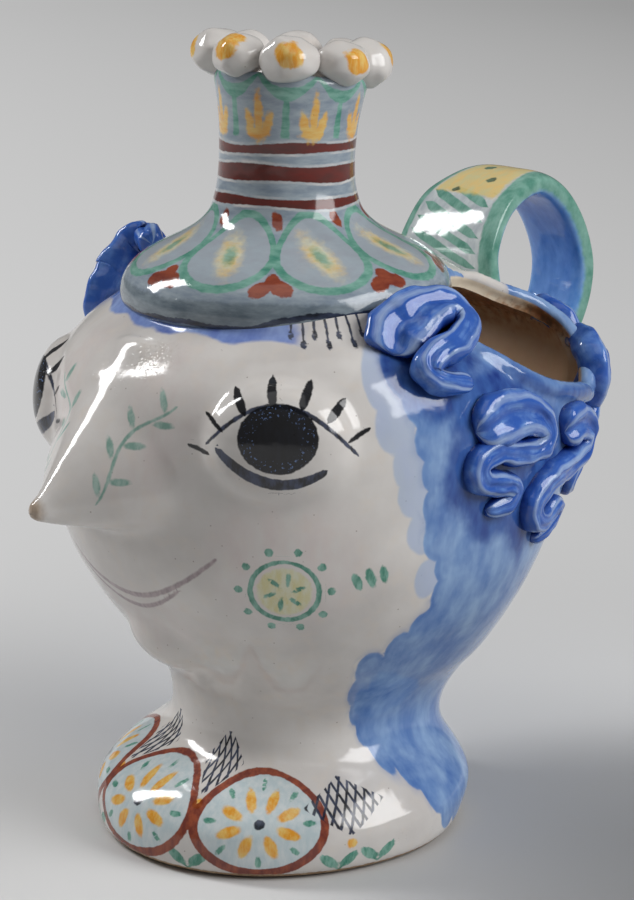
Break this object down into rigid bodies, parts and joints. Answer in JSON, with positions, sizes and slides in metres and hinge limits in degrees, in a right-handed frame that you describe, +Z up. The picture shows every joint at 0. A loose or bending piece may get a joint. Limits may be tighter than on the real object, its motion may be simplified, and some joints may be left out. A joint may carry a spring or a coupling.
{
  "type": "figural planter",
  "caption": "Glazed earthenware head planter: a lady's face on a flared foot, a hat with a beaded bottle neck, a back strap handle and side planting mouths for leafy hair.",
  "frame": {"origin": "centre of the foot, on the surface that the planter stands on", "axes": "+Z up, the face looks along -Y, and +X is towards the lady's left"},
  "size_m": [0.236, 0.3192, 0.3593],
  "materials": {
    "white_glaze": "glossy warm white tin glaze, hand painted, with pinholes and soft pooling",
    "blue_glaze": "glossy cobalt blue glaze that breaks paler on the edges",
    "hat_glaze": "glossy pale grey-blue glaze, hand painted in green, yellow and rust red",
    "green_glaze": "glossy green glaze in brushed stripes over white",
    "bisque": "unglazed fired clay, matt, under a glazed edge"
  },
  "bodies": {
    "root": {"base_slab": "bisque", "shoulder_foot": "white_glaze", "neck": "white_glaze", "head_shell": "white_glaze", "handle_strap": "green_glaze", "hat_dome": "hat_glaze", "bottle_neck": "hat_glaze", "rim_bead_1": "white_glaze", "rim_bead_2": "white_glaze", "rim_bead_3": "white_glaze", "rim_bead_4": "white_glaze", "rim_bead_5": "white_glaze", "rim_bead_6": "white_glaze", "rim_bead_7": "white_glaze", "rim_bead_8": "white_glaze", "nose": "white_glaze", "chin": "white_glaze", "left_eyeball": "white_glaze", "right_eyeball": "white_glaze", "left_mouth_lip": "blue_glaze", "right_mouth_lip": "blue_glaze", "left_temple_curl": "blue_glaze", "left_side_curl": "blue_glaze", "left_back_curl": "blue_glaze", "left_rear_curl": "blue_glaze", "left_crown_curl": "blue_glaze", "right_temple_curl": "blue_glaze", "right_side_curl": "blue_glaze", "right_back_curl": "blue_glaze", "right_rear_curl": "blue_glaze", "right_crown_curl": "blue_glaze"}
  },
  "joints": []
}
